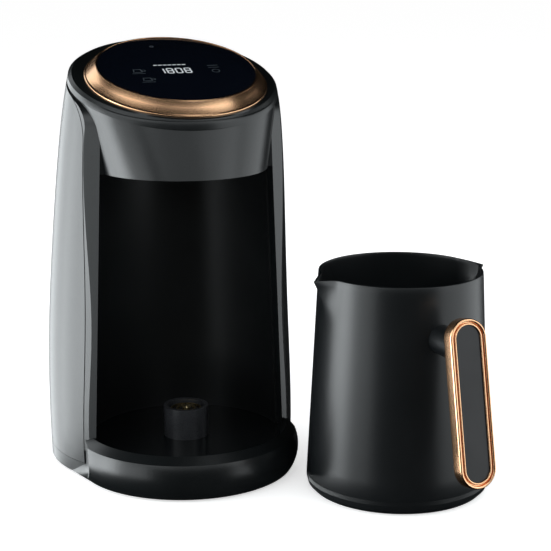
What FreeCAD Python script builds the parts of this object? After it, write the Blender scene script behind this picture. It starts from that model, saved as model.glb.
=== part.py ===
# Electric Turkish coffee maker: a round tower with an open bay, a tilted touch panel
# and a round cordless connector, and the two-spouted pot that stands beside it.
# Millimetres, +Z up, front towards -Y. The origin is on the axis of the tower's dish,
# at the surface that the feet stand on.
import FreeCAD, Part
import math
import os
import re
import Sketcher
from FreeCAD import Placement, Rotation, Vector

# Driving sizes: name, value in millimetres or degrees, meaning
SIZES = [
    ("cut_margin", 1.0, "reach of a cutting form past the face that it cuts"),
    ("joint_overlap", 0.5, "overlap of forms that are joined into one"),
    ("foot_height", 3.0, "rubber feet, from the table to the bottom cover"),
    ("rim_gap", 1.5, "gap between the table and the lower edge of the base"),
    ("foot_ring_inner", 55.0, "inner radius of the ring foot"),
    ("foot_ring_width", 5.5, "width of the ring foot"),
    ("rear_foot_radius", 6.0, "radius of a rear pad"),
    ("rear_foot_side", 40.0, "rear pad, distance from the middle"),
    ("rear_foot_back", 84.0, "rear pad, distance behind the dish axis"),
    ("lip_bottom_radius", 65.5, "front lip at its lower edge"),
    ("lip_radius", 69.2, "front lip where it is widest"),
    ("lip_wide_height", 12.5, "height of the widest line of the lip"),
    ("lip_shoulder_radius", 67.3, "front lip where its top bevel starts"),
    ("lip_shoulder_height", 22.8, "height of that line"),
    ("lip_side", 65.9, "flat side of the lip, from the middle, where it leaves the round front"),
    ("lip_side_back", -22.0, "that place, behind the dish axis"),
    ("lip_side_end", 64.3, "flat side of the lip at the side panel, from the middle"),
    ("lip_top_radius", 61.6, "front lip at its top edge"),
    ("lip_top_height", 26.7, "height of the top edge"),
    ("dish_radius", 58.1, "radius of the dish"),
    ("dish_height", 20.0, "height of the dish floor"),
    ("tray_thickness", 2.1, "thickness of the dish floor"),
    ("deck_thickness", 2.3, "deck of the base under the dish"),
    ("deck_radius", 62.6, "radius of the deck"),
    ("base_wall", 2.5, "wall of the base"),
    ("cover_thickness", 2.0, "bottom cover"),
    ("cover_gap", 0.4, "gap round the bottom cover"),
    ("side_inset", 0.2, "flat sides of the base behind the tangent of lip and tower"),
    ("skirt_top", 9.5, "height where the side panels begin"),
    ("body_foot_radius", 75.8, "tower radius at the foot"),
    ("body_foot_back", 35.5, "tower centre at the foot, behind the dish axis"),
    ("body_low_height", 55.0, "second section, height"),
    ("body_low_radius", 76.1, "second section, radius"),
    ("body_low_back", 36.3, "second section, centre"),
    ("body_middle_height", 100.0, "third section, height"),
    ("body_middle_radius", 74.3, "third section, radius"),
    ("body_middle_back", 36.0, "third section, centre"),
    ("body_high_height", 160.0, "fourth section, height"),
    ("body_high_radius", 70.7, "fourth section, radius"),
    ("body_high_back", 30.0, "fourth section, centre"),
    ("body_neck_height", 208.0, "fifth section, height"),
    ("body_neck_radius", 66.7, "fifth section, radius"),
    ("body_neck_back", 24.0, "fifth section, centre"),
    ("glass_tilt", 17.8, "tilt of the control glass towards the front"),
    ("glass_back", 10.1, "centre of the glass, behind the dish axis"),
    ("glass_centre_height", 243.9, "height of the centre of the glass"),
    ("glass_radius", 48.2, "radius of the control glass"),
    ("glass_thickness", 3.0, "thickness of the control glass"),
    ("ring_outer_radius", 54.4, "copper ring, outer edge"),
    ("ring_drop", 6.7, "copper ring, outer edge below the glass"),
    ("ring_height", 8.5, "copper ring, seat below the glass"),
    ("ring_ledge", 2.8, "ledge of the ring under the glass"),
    ("ring_proud", 0.3, "inner edge of the copper ring above the glass"),
    ("glass_gap", 0.2, "radial gap round the glass"),
    ("head_rim_radius", 62.4, "rim of the head"),
    ("head_rim_setback", 6.0, "rim of the head, centre behind the glass centre"),
    ("head_rim_drop", 10.0, "rim of the head, below the glass"),
    ("head_round_inset", 1.9, "rounding of the rim of the head, inwards"),
    ("head_round_rise", 1.8, "rounding of the rim of the head, upwards"),
    ("head_top_margin", 1.0, "land between the copper ring and the rim slope"),
    ("head_top_drop", 7.3, "land round the copper ring, below the glass"),
    ("rim_band", 2.8, "height of the band under the rim of the head"),
    ("hood_radius", 50.4, "lower edge of the hood"),
    ("hood_height", 186.0, "height of the lower edge of the hood"),
    ("hood_wall", 2.2, "wall of the hood"),
    ("hood_ledge_drop", 13.5, "underside of the ring seat, below the glass"),
    ("hood_ledge_radius", 50.0, "opening in the ring seat"),
    ("hood_ledge_reach", 30.0, "lower end of that opening, below the glass"),
    ("hood_rim_wall", 3.2, "wall of the hood under its rim"),
    ("housing_wall", 2.4, "wall of the housing"),
    ("panel_thickness", 2.0, "side panel"),
    ("panel_gap", 0.2, "gap behind and round a side panel"),
    ("panel_front", -5.0, "front edge of the pocket of a side panel"),
    ("panel_shadow_gap", 0.6, "gap in front of a side panel"),
    ("panel_top_drop", 14.8, "upper edge of a side panel, below the glass plane"),
    ("panel_sweep_radius", 26.0, "upper front corner of a side panel"),
    ("pillar_front", -11.0, "front edge of a pillar"),
    ("pillar_slope", 0.7, "set-back of the front face of a pillar for each millimetre outwards"),
    ("jamb_step", 1.2, "inner side of a pillar, outside the bay wall"),
    ("pillar_sweep_radius", 16.0, "upper front corner of a pillar"),
    ("pillar_wall", 3.2, "wall behind the front edge of a pillar"),
    ("rear_cover_half", 34.0, "half width of the rear cover"),
    ("bay_low_radius", 58.0, "bay at the dish"),
    ("bay_high_radius", 51.5, "bay under the hood"),
    ("liner_thickness", 1.6, "wall of the liner"),
    ("liner_gap", 0.15, "gap behind the liner"),
    ("liner_edge", 0.5, "front edges of the liner, in front of the dish axis"),
    ("ceiling_thickness", 2.5, "ceiling of the bay"),
    ("boss_radius", 13.7, "connector post"),
    ("boss_height", 38.7, "top of the connector post"),
    ("boss_wall", 2.3, "wall of the connector post"),
    ("boss_floor", 26.0, "floor inside the connector post"),
    ("boss_bore", 9.0, "wire hole under the connector post"),
    ("core_height", 35.6, "top of the insulating core"),
    ("live_radius", 9.0, "middle radius of the live contact"),
    ("neutral_radius", 5.6, "middle radius of the neutral contact"),
    ("contact_wall", 0.8, "thickness of a ring contact"),
    ("contact_rise", 1.2, "contacts above the core"),
    ("contact_foot", 2.0, "foot of the contacts, above the floor of the post"),
    ("slot_gap", 0.5, "gap on each side of a ring contact"),
    ("earth_radius", 2.1, "earth pin"),
    ("earth_tip", 1.0, "pointed end of the earth pin"),
    ("fit_gap", 0.1, "radial gap of parts that are pushed in"),
    ("screw_radius", 1.45, "screw shank"),
    ("screw_hole_gap", 0.05, "radial gap of a screw in its boss"),
    ("screw_head_radius", 2.9, "screw head"),
    ("screw_head_height", 1.3, "height of a screw head"),
    ("screw_length", 9.0, "screw shank length"),
    ("board_screw_length", 8.0, "shank of a board screw"),
    ("cup_screw_length", 4.0, "shank of a screw of the pot"),
    ("screw_boss_radius", 4.0, "boss for a screw"),
    ("front_screw_side", 35.0, "front screws, from the middle"),
    ("front_screw_back", -33.0, "front screws, behind the dish axis"),
    ("middle_screw_side", 36.0, "middle screws, from the middle"),
    ("middle_screw_back", 36.0, "middle screws, behind the dish axis"),
    ("rear_screw_side", 28.0, "rear screws, from the middle"),
    ("rear_screw_back", 96.0, "rear screws, behind the dish axis"),
    ("rear_boss_drop", 6.0, "rear screw bosses, below the top of the lip"),
    ("rear_rib_length", 30.0, "rib from a rear screw boss to the wall"),
    ("board_front", 86.0, "front face of the power board, behind the dish axis"),
    ("board_thickness", 1.6, "circuit boards"),
    ("board_width", 62.0, "power board, width"),
    ("board_low", 42.0, "power board, lower edge"),
    ("board_length", 92.0, "power board, height"),
    ("board_hole_inset", 5.0, "power board, screw holes from its edges"),
    ("post_radius", 3.2, "posts of the power board"),
    ("relay_width", 16.0, "relay, across"),
    ("relay_depth", 15.0, "relay, off the board"),
    ("relay_height", 20.0, "relay, height"),
    ("relay_side", -16.0, "relay, from the middle"),
    ("relay_low", 34.0, "relay, above the lower edge of the board"),
    ("transformer_width", 24.0, "transformer, across"),
    ("transformer_depth", 20.0, "transformer, off the board"),
    ("transformer_height", 22.0, "transformer, height"),
    ("transformer_side", 10.0, "transformer, from the middle"),
    ("transformer_low", 40.0, "transformer, above the lower edge of the board"),
    ("terminal_width", 30.0, "terminal block, across"),
    ("terminal_depth", 11.0, "terminal block, off the board"),
    ("terminal_height", 10.0, "terminal block, height"),
    ("terminal_low", 14.0, "terminal block, above the lower edge of the board"),
    ("display_setback", 1.0, "display module, behind the glass centre"),
    ("display_width", 26.0, "display module, across"),
    ("display_depth", 18.0, "display module, front to back"),
    ("buzzer_radius", 6.0, "sounder"),
    ("buzzer_height", 7.0, "sounder, height"),
    ("buzzer_setback", -22.0, "sounder, behind the glass centre"),
    ("window_radius", 7.0, "sensor lens"),
    ("window_back", 8.0, "sensor lens, behind the dish axis"),
    ("window_flange", 2.0, "sensor lens, width of its flange"),
    ("window_flange_height", 1.0, "sensor lens, height of its flange above the hood floor"),
    ("hood_floor_recess", 1.0, "hood floor above the lower edge of the hood"),
    ("hood_floor_thickness", 2.2, "hood floor"),
    ("hood_floor_gap", 1.0, "radial gap round the hood floor at the lower edge of the hood"),
    ("sensor_height", 9.0, "boil sensor, height"),
    ("sensor_radius", 6.0, "boil sensor"),
    ("ribbon_width", 16.0, "ribbon cable, width"),
    ("ribbon_thickness", 1.0, "ribbon cable, thickness"),
    ("ribbon_start_drop", 8.0, "ribbon cable, lower end below the top of the power board"),
    ("ribbon_turn_height", 190.0, "ribbon cable, first bend"),
    ("ribbon_level", 207.5, "ribbon cable, level run"),
    ("ribbon_level_back", 68.0, "level run, rear bend behind the dish axis"),
    ("ribbon_level_front", 46.0, "level run, front bend behind the dish axis"),
    ("ribbon_head", 26.0, "ribbon cable, upper end behind the glass centre"),
    ("ribbon_clear", 1.0, "slot in the hood, beside the ribbon cable"),
    ("ribbon_slot_height", 6.0, "slot in the hood, height"),
    ("ribbon_slot_front", 30.0, "slot in the hood, front end behind the dish axis"),
    ("window_side", 30.0, "board window of the housing, half width"),
    ("window_front", 70.0, "board window of the housing, front end behind the dish axis"),
    ("window_low", 35.0, "board window of the housing, lower edge"),
    ("window_high", 141.0, "board window of the housing, upper edge"),
    ("gland_height", 21.0, "cord gland, height of its axis"),
    ("gland_radius", 5.5, "cord gland, body"),
    ("gland_flange_radius", 8.0, "cord gland, flange"),
    ("gland_bore", 3.4, "cord gland, bore for the cord"),
    ("gland_length", 9.0, "cord gland, inside part"),
    ("gland_flange", 2.5, "cord gland, thickness of its flange"),
    ("vent_count", 6, "slots in the rear cover"),
    ("vent_low", 150.0, "lowest slot"),
    ("vent_pitch", 8.0, "spacing of the slots"),
    ("vent_height", 3.0, "height of a slot"),
    ("vent_half", 20.0, "half length of a slot"),
    ("pot_side", 109.7, "pot axis, to the right of the dish axis"),
    ("pot_back", -74.1, "pot axis, behind the dish axis"),
    ("pot_turn", 5.0, "turn of the pot about its axis"),
    ("pot_foot_radius", 54.0, "pot, outer radius above the foot"),
    ("pot_rim_radius", 47.8, "pot, outer radius at the rim"),
    ("pot_height", 132.0, "pot, height of the rim"),
    ("pot_wall", 1.5, "pot, wall"),
    ("pot_corner", 6.5, "pot, rounding of the lower edge"),
    ("cup_height", 9.0, "height of the seam between base cup and jug"),
    ("cup_wall", 2.2, "base cup, wall"),
    ("cup_floor", 2.4, "base cup, floor"),
    ("jug_floor_height", 26.0, "jug, underside of its floor"),
    ("spout_reach", 56.6, "spout, tip from the pot axis"),
    ("spout_tip_height", 129.7, "spout, height of the tip"),
    ("spout_half_width", 12.5, "spout, half width at the rim"),
    ("spout_tip_radius", 2.6, "spout, rounding of the tip"),
    ("spout_length", 24.0, "spout, height of the fold below the rim"),
    ("spout_inner", 30.0, "spout form, inner end from the pot axis"),
    ("spout_root", 6.0, "spout form, start of its slanted sides inside the wall"),
    ("spout_fold_half", 3.1, "spout, half width at the lower end of the fold"),
    ("spout_fold_radius", 1.0, "spout, rounding at the lower end of the fold"),
    ("element_radius", 33.0, "heating element, middle radius"),
    ("element_tube", 3.2, "heating element, tube radius"),
    ("element_sweep", 320.0, "heating element, length of its ring in degrees"),
    ("plate_radius", 45.0, "heating plate"),
    ("plate_thickness", 2.0, "heating plate"),
    ("seal_width", 2.0, "seal ring, width"),
    ("seal_height", 3.0, "seal ring, height"),
    ("socket_outer", 17.0, "pot socket, outer radius"),
    ("socket_clearance", 0.6, "pot socket round the connector post"),
    ("thermostat_radius", 5.0, "thermostat"),
    ("thermostat_height", 6.0, "thermostat, height"),
    ("thermostat_side", 23.5, "thermostat, from the pot axis"),
    ("cup_screw_circle", 24.0, "base cup screws, from the pot axis"),
    ("cup_screw_turn", 30.0, "first screw of the base cup, degrees round from the side"),
    ("cup_screw_count", 3, "base cup screws"),
    ("cup_screw_sink", 1.8, "depth of a screw recess in the base cup"),
    ("socket_flange", 30.0, "pot socket, flange radius"),
    ("socket_flange_height", 4.0, "pot socket, flange thickness"),
    ("socket_headroom", 0.7, "pot socket above the connector post"),
    ("handle_width", 22.3, "handle, width"),
    ("handle_length", 93.0, "handle, length"),
    ("handle_depth", 7.6, "handle, thickness"),
    ("handle_centre_reach", 81.0, "handle, middle from the pot axis"),
    ("handle_centre_height", 74.0, "handle, height of its middle"),
    ("handle_lean", 11.6, "handle, lean outwards at the foot"),
    ("handle_band", 1.7, "copper rim, outer band"),
    ("handle_groove", 0.9, "copper rim, groove"),
    ("handle_groove_depth", 2.4, "copper rim, depth of the groove"),
    ("handle_lip", 1.0, "copper rim, inner lip"),
    ("inlay_recess", 1.4, "inlay below the edge of the rim"),
    ("inlay_thickness", 1.2, "inlay, thickness"),
    ("stub_height", 102.0, "stand-off, height of its axis"),
    ("stub_radius", 8.2, "stand-off, radius"),
    ("handle_screw_radius", 2.0, "handle screw, shank"),
    ("handle_screw_head", 2.0, "handle screw, height of its head"),
    ("handle_screw_reach", 9.0, "handle screw, reach behind the handle"),
]

# Longer than the whole object, for forms that cut right through it
FAR = 300.0

doc = FreeCAD.newDocument("coffee_maker")
sheet = doc.addObject("Spreadsheet::Sheet", "sizes")
for row, (alias, value, meaning) in enumerate(SIZES, start=1):
    sheet.set(f"A{row}", meaning)
    sheet.set(f"B{row}", str(value))
    sheet.setAlias(f"B{row}", alias)
doc.recompute()
nodes = []


def size(alias):
    """A driving size, as a plain number."""
    return float(sheet.get(alias))


past = size("cut_margin")
overlap = size("joint_overlap")


def cells(expression):
    """An expression in plain names, with each name made a cell of the sheet."""
    return re.sub(r"[a-z_]{4,}", lambda word: "sizes." + word.group(0), expression)


def value_of(expression):
    """The number that an expression gives."""
    result = sheet.evalExpression(cells(expression))
    return float(getattr(result, "Value", result))


def keep(thing, label):
    """Name a finished sub-part and put it on the list of nodes."""
    thing.Label = label
    nodes.append(thing)
    return thing


def feature(label, shape, placement=None):
    """A sub-part whose shape is worked out here from the sheet."""
    thing = doc.addObject("Part::Feature", label)
    thing.Shape = shape
    if placement is not None:
        thing.Placement = placement
    return keep(thing, label)


# Sketches and features of the turned and padded sub-parts
def body_named(label):
    """A PartDesign body that is one sub-part."""
    return keep(doc.addObject("PartDesign::Body", label), label)


def sketch_on(body, role, name, lift=None):
    """A sketch on one of the body's own origin planes, lifted off it by an expression."""
    sketch = body.newObject("Sketcher::SketchObject", name)
    plane = [item for item in body.Origin.OriginFeatures if item.Role == role][0]
    sketch.AttachmentSupport = [(plane, "")]
    sketch.MapMode = "FlatFace"
    if lift is not None:
        sketch.setExpression("AttachmentOffset.Base.z", cells(lift))
    return sketch


def bind(sketch, kind, first, second, expression):
    """A dimension from the sketch origin to a point, bound to the sheet."""
    number = value_of(expression)
    if abs(number) < 1e-9:
        axis = -2 if kind == "DistanceX" else -1
        sketch.addConstraint(Sketcher.Constraint("PointOnObject", first, second, axis))
        return
    if number > 0:
        index = sketch.addConstraint(Sketcher.Constraint(kind, -1, 1, first, second, number))
        sketch.setExpression(f"Constraints[{index}]", cells(expression))
        return
    index = sketch.addConstraint(Sketcher.Constraint(kind, first, second, -1, 1, -number))
    sketch.setExpression(f"Constraints[{index}]", cells(f"-({expression})"))


def draw_polygon(sketch, corners):
    """A closed outline through corners given as pairs of expressions."""
    points = [Vector(value_of(across), value_of(up), 0) for across, up in corners]
    first = sketch.GeometryCount
    count = len(points)
    for index in range(count):
        sketch.addGeometry(Part.LineSegment(points[index], points[(index + 1) % count]))
    for index in range(count):
        following = first + (index + 1) % count
        sketch.addConstraint(Sketcher.Constraint("Coincident", first + index, 2, following, 1))
    for index, (across, up) in enumerate(corners):
        bind(sketch, "DistanceX", first + index, 1, across)
        bind(sketch, "DistanceY", first + index, 1, up)


def draw_circle(sketch, across, up, radius):
    """A circle whose centre and radius are expressions."""
    centre = Vector(value_of(across), value_of(up), 0)
    index = sketch.addGeometry(Part.Circle(centre, Vector(0, 0, 1), value_of(radius)))
    bind(sketch, "DistanceX", index, 3, across)
    bind(sketch, "DistanceY", index, 3, up)
    rule = sketch.addConstraint(Sketcher.Constraint("Radius", index, value_of(radius)))
    sketch.setExpression(f"Constraints[{rule}]", cells(radius))


def draw_capsule(sketch, width, length):
    """A slot outline with round ends, upright on the sketch origin."""
    radius = value_of(f"({width}) / 2")
    reach = value_of(f"(({length}) - ({width})) / 2")
    first = sketch.GeometryCount
    upper = Part.Circle(Vector(0, reach, 0), Vector(0, 0, 1), radius)
    lower = Part.Circle(Vector(0, -reach, 0), Vector(0, 0, 1), radius)
    sketch.addGeometry(Part.ArcOfCircle(upper, 0, math.pi))
    sketch.addGeometry(Part.LineSegment(Vector(-radius, reach, 0), Vector(-radius, -reach, 0)))
    sketch.addGeometry(Part.ArcOfCircle(lower, math.pi, 2 * math.pi))
    sketch.addGeometry(Part.LineSegment(Vector(radius, -reach, 0), Vector(radius, reach, 0)))
    for index in range(4):
        following = first + (index + 1) % 4
        sketch.addConstraint(Sketcher.Constraint("Tangent", first + index, 2, following, 1))
    sketch.addConstraint(Sketcher.Constraint("Equal", first, first + 2))
    for index in (first, first + 2):
        sketch.addConstraint(Sketcher.Constraint("PointOnObject", index, 3, -2))
    bind(sketch, "DistanceY", first, 3, f"(({length}) - ({width})) / 2")
    bind(sketch, "DistanceY", first + 2, 3, f"-(({length}) - ({width})) / 2")
    rule = sketch.addConstraint(Sketcher.Constraint("Radius", first, radius))
    sketch.setExpression(f"Constraints[{rule}]", cells(f"({width}) / 2"))


def turned(label, corners):
    """A body turned about its own upright axis from an outline of radius and height."""
    body = body_named(label)
    sketch = sketch_on(body, "XZ_Plane", f"{label}_outline")
    draw_polygon(sketch, corners)
    turn = body.newObject("PartDesign::Revolution", f"{label}_turn")
    turn.Profile = sketch
    turn.ReferenceAxis = (sketch, ["V_Axis"])
    turn.Angle = 360
    return body


def padded(label, low, height, draw):
    """A body padded upwards from a sketch that the function draw fills."""
    body = body_named(label)
    sketch = sketch_on(body, "XY_Plane", f"{label}_outline", low)
    draw(sketch)
    pad = body.newObject("PartDesign::Pad", f"{label}_pad")
    pad.Profile = sketch
    pad.setExpression("Length", cells(height))
    return body


def bored(body, top, depth, draw, name):
    """A pocket downwards from a sketch at a height, into a body."""
    sketch = sketch_on(body, "XY_Plane", f"{name}_outline", top)
    draw(sketch)
    pocket = body.newObject("PartDesign::Pocket", name)
    pocket.Profile = sketch
    pocket.setExpression("Length", cells(depth))
    body.Tip = pocket
    return pocket


def turned_shape(corners):
    """A solid turned about the Z axis from an outline of radius and height.

    A corner with four numbers is reached by an arc through its first two."""
    edges = []
    start = Vector(corners[0][0], 0, corners[0][1])
    for corner in corners[1:] + corners[:1]:
        end = Vector(corner[-2], 0, corner[-1])
        if len(corner) == 4:
            edges.append(Part.Arc(start, Vector(corner[0], 0, corner[1]), end).toShape())
        else:
            edges.append(Part.LineSegment(start, end).toShape())
        start = end
    return Part.Face(Part.Wire(edges)).revolve(Vector(0, 0, 0), Vector(0, 0, 1), 360)


def slab(low, high, front=-FAR, back=FAR):
    """Everything between two heights and two depths."""
    return Part.makeBox(2 * FAR, back - front, high - low, Vector(-FAR, front, low))


def post(radius, low, high, side=0.0, back=0.0):
    """An upright round post."""
    return Part.makeCylinder(radius, high - low, Vector(side, back, low))


# Frames of the tilted head, the pot and its handle
HEAD = Placement(
    Vector(0, size("glass_back"), size("glass_centre_height")),
    Rotation(Vector(1, 0, 0), size("glass_tilt")),
)
POT = Placement(
    Vector(size("pot_side"), size("pot_back"), 0),
    Rotation(Vector(0, 0, 1), size("pot_turn")),
)
HANDLE = POT.multiply(
    Placement(
        Vector(0, -size("handle_centre_reach"), size("handle_centre_height")),
        Rotation(Vector(1, 0, 0), 90 - size("handle_lean")),
    )
)


def stand_head(thing):
    """Place a sub-part in the tilted head: its own Z axis is square to the glass."""
    thing.Placement = HEAD
    thing.setExpression("Placement.Base.y", "sizes.glass_back")
    thing.setExpression("Placement.Base.z", "sizes.glass_centre_height")
    thing.setExpression("Placement.Rotation.Angle", "sizes.glass_tilt * 1deg")
    return thing


def stand_pot(thing):
    """Place a sub-part on the pot axis."""
    thing.Placement = POT
    thing.setExpression("Placement.Base.x", "sizes.pot_side")
    thing.setExpression("Placement.Base.y", "sizes.pot_back")
    thing.setExpression("Placement.Rotation.Angle", "sizes.pot_turn * 1deg")
    return thing


def circle_wire(radius, placement):
    """A circle as a wire, with its seam on the X side."""
    wire = Part.Wire(Part.makeCircle(radius))
    wire.Placement = placement
    return wire


def level_circle(radius, back, height):
    """A level circle of the tower."""
    return circle_wire(radius, Placement(Vector(0, back, height), Rotation()))


def head_circle(radius, setback, drop):
    """A circle parallel to the glass."""
    inside = Placement(Vector(0, setback, -drop), Rotation())
    return circle_wire(radius, HEAD.multiply(inside))


def head_solid(shape):
    """A solid made in the frame of the glass, set in the tower."""
    placed = shape.copy()
    placed.Placement = HEAD
    return placed


# Outer form of the tower: a loft through round sections up to the tilted rim
BODY_LEVELS = ["foot", "low", "middle", "high", "neck"]


def tower_form(inset):
    """The tower as a solid, drawn in by an inset on all sides."""
    wires = []
    for level in BODY_LEVELS:
        height = size("rim_gap") if level == "foot" else size(f"body_{level}_height")
        wires.append(level_circle(size(f"body_{level}_radius") - inset, size(f"body_{level}_back"), height))
    rim = head_circle(size("head_rim_radius") - inset, size("head_rim_setback"), size("head_rim_drop"))
    wires.append(rim)
    return Part.makeLoft(wires, True, False)


def swept_face(front, drop, radius, low, before=False):
    """All that lies behind an upright front edge and below a line along the glass plane.

    The two lines are joined by an arc, seen from the side. With before set, it is
    all that lies in front of them instead."""
    tilt = math.radians(size("glass_tilt"))
    line_back = size("glass_back") + drop * math.sin(tilt)
    line_height = size("glass_centre_height") - drop * math.cos(tilt)
    corner = line_height + (front - line_back) * math.tan(tilt)
    reach = radius * math.tan((math.pi / 2 - tilt) / 2)
    centre = Vector(0, front + radius, corner - reach)
    towards = Vector(0, front, corner).sub(centre).normalize()
    start = Vector(0, front, corner - reach)
    middle = centre.add(towards.multiply(radius))
    end = Vector(0, front + reach * math.cos(tilt), corner + reach * math.sin(tilt))
    high = Vector(0, FAR, line_height + (FAR - line_back) * math.tan(tilt))
    bottom_front = Vector(0, front, low)
    closing = [high, Vector(0, FAR, low), bottom_front]
    if before:
        closing = [high, Vector(0, -FAR, high.z), Vector(0, -FAR, low), bottom_front]
    edges = [
        Part.LineSegment(bottom_front, start).toShape(),
        Part.Arc(start, middle, end).toShape(),
        Part.LineSegment(end, high).toShape(),
    ]
    for near, next_corner in zip(closing, closing[1:]):
        edges.append(Part.LineSegment(near, next_corner).toShape())
    return Part.Face(Part.Wire(edges))


def swept_region(front, drop, radius, low):
    """The same region over the whole width of the tower."""
    region = swept_face(front, drop, radius, low).extrude(Vector(2 * FAR, 0, 0))
    region.translate(Vector(-FAR, 0, 0))
    return region


def bay_radius(height):
    """Radius of the bay at a height."""
    share = (height - size("dish_height")) / (size("hood_height") - size("dish_height"))
    return size("bay_low_radius") + share * (size("bay_high_radius") - size("bay_low_radius"))


def bay_cone(extra, low, high):
    """The bay as a tapered solid, larger by extra on its radius."""
    return Part.makeCone(bay_radius(low) + extra, bay_radius(high) + extra, high - low, Vector(0, 0, low))


deck_top = size("dish_height") - size("tray_thickness")
deck_bottom = deck_top - size("deck_thickness")
outer_form = tower_form(0)
pocket_form = tower_form(size("panel_thickness") + size("panel_gap"))
hollow_form = tower_form(size("panel_thickness") + size("panel_gap") + size("housing_wall"))
over_form = tower_form(-past)

# Base with its front lip, open below and over the middle of its deck
top = size("lip_top_height")
skirt = size("skirt_top")
low_edge = size("rim_gap")
wall = size("base_wall")
pocket_front = size("panel_front")


def beside_lip(inset):
    """All that lies outside the two flat sides of the lip, drawn in by an inset."""
    outside = []
    for side in (-1, 1):
        plan = [
            (size("lip_side") - inset, size("lip_side_back")),
            (size("lip_side_end") - inset, size("panel_front")),
            (size("lip_side_end") - inset, FAR),
            (FAR, FAR),
            (FAR, size("lip_side_back")),
        ]
        points = [Vector(side * across, back, 0) for across, back in plan]
        outside.append(Part.Face(Part.makePolygon(points + points[:1])).extrude(Vector(0, 0, 2 * top)))
    return outside


lip = turned_shape([
    (0, low_edge),
    (size("lip_bottom_radius"), low_edge),
    (size("lip_radius"), size("lip_wide_height"), size("lip_shoulder_radius"), size("lip_shoulder_height")),
    (size("lip_top_radius"), top),
    (size("dish_radius"), size("dish_height")),
    (size("dish_radius"), deck_top),
    (0, deck_top),
]).cut(beside_lip(0))
lip_hollow = turned_shape([
    (0, low_edge - past),
    (size("lip_bottom_radius") - wall, low_edge - past),
    (size("lip_bottom_radius") - wall, low_edge),
    (size("lip_radius") - wall, size("lip_wide_height")),
    (size("dish_radius"), deck_bottom),
    (0, deck_bottom),
]).cut(beside_lip(wall))
front_lip = lip.cut(slab(skirt, top + past, pocket_front))
skirt_ring = outer_form.common(slab(low_edge, skirt))


def skirt_outline(near, far, height):
    """The level outline of the flat sides that bridge the lip and the tower."""
    plan = [near, far, (-far[0], far[1]), (-near[0], near[1])]
    corners = [Vector(across, back, height) for across, back in plan]
    return Part.makePolygon(corners + corners[:1])


front = size("lip_bottom_radius") - size("side_inset")
rear = size("body_foot_radius") - size("side_inset")
lean_in = math.asin((rear - front) / size("body_foot_back"))
foot_outline = skirt_outline(
    (front * math.cos(lean_in), -front * math.sin(lean_in)),
    (rear * math.cos(lean_in), size("body_foot_back") - rear * math.sin(lean_in)),
    low_edge,
)
top_outline = skirt_outline(
    (size("lip_side") - size("side_inset"), size("lip_side_back")),
    (size("lip_side_end"), size("panel_front")),
    skirt,
)
skirt_ring = skirt_ring.fuse(Part.makeLoft([foot_outline, top_outline], True, True))
inner_wall = pocket_form.common(slab(skirt, top, pocket_front))
inner_wall = inner_wall.cut(post(size("deck_radius"), deck_top, top + past))
base = front_lip.fuse([skirt_ring, inner_wall])
base_inset = size("panel_thickness") + size("panel_gap") + wall
rear_hollow = tower_form(base_inset).common(slab(low_edge - past, top + past, pocket_front + wall))
deck = post(size("deck_radius"), deck_bottom, deck_top)
base = base.cut(lip_hollow).cut(rear_hollow.cut(deck))
SCREW_PLACES = []
for spot in ("front", "middle", "rear"):
    for side in (-1, 1):
        SCREW_PLACES.append((side * size(f"{spot}_screw_side"), size(f"{spot}_screw_back")))
cover_top = size("foot_height") + size("cover_thickness")
boss_foot = cover_top + size("fit_gap")
boss_radius = size("screw_boss_radius")
bosses = []
for side, back in SCREW_PLACES[:4]:
    bosses.append(post(boss_radius, boss_foot, deck_bottom + overlap, side, back))
rear_boss_top = top - size("rear_boss_drop")
for side, back in SCREW_PLACES[4:]:
    rib = Part.makeBox(2 * boss_radius, size("rear_rib_length"), rear_boss_top - boss_foot)
    rib.translate(Vector(side - boss_radius, back, boss_foot))
    bosses.append(post(boss_radius, boss_foot, rear_boss_top, side, back))
    bosses.append(rib.common(tower_form(base_inset - overlap)))
base = base.fuse(bosses)
hole_top = size("foot_height") + size("screw_length") + past
hole_radius = size("screw_radius") + size("screw_hole_gap")
for side, back in SCREW_PLACES:
    base = base.cut(post(hole_radius, low_edge, hole_top, side, back))
base = base.cut(post(size("boss_bore"), 0, top))
gland_axis = Vector(0, 1, 0)
gland_start = Vector(0, size("rear_foot_back"), size("gland_height"))
gland_hole = Part.makeCylinder(size("gland_radius") + size("fit_gap"), FAR, gland_start, gland_axis)
feature("base_shell", base.cut(gland_hole))

# Dish floor, turned with a hole for the connector post
turned("tray_floor", [
    ("boss_radius + fit_gap", "dish_height - tray_thickness"),
    ("dish_radius - fit_gap", "dish_height - tray_thickness"),
    ("dish_radius - fit_gap", "dish_height"),
    ("boss_radius + fit_gap", "dish_height"),
])

# Bottom cover with holes for its screws, and the rubber feet under it
cover_front = post(size("lip_bottom_radius") - wall - size("cover_gap"), 0, top)
cover_front = cover_front.cut(beside_lip(wall + size("cover_gap")))
cover = tower_form(base_inset + size("cover_gap")).fuse(cover_front)
cover = cover.common(slab(size("foot_height"), cover_top))
for side, back in SCREW_PLACES:
    cover = cover.cut(post(size("screw_radius") + size("cover_gap"), 0, top, side, back))
feature("bottom_cover", cover)
turned("foot_ring", [
    ("foot_ring_inner", "0"),
    ("foot_ring_inner + foot_ring_width", "0"),
    ("foot_ring_inner + foot_ring_width", "foot_height"),
    ("foot_ring_inner", "foot_height"),
])


def two_pads(sketch):
    """The outline of the two rear pads."""
    draw_circle(sketch, "rear_foot_side", "rear_foot_back", "rear_foot_radius")
    draw_circle(sketch, "-rear_foot_side", "rear_foot_back", "rear_foot_radius")


padded("rear_feet", "0", "foot_height", two_pads)


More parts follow.
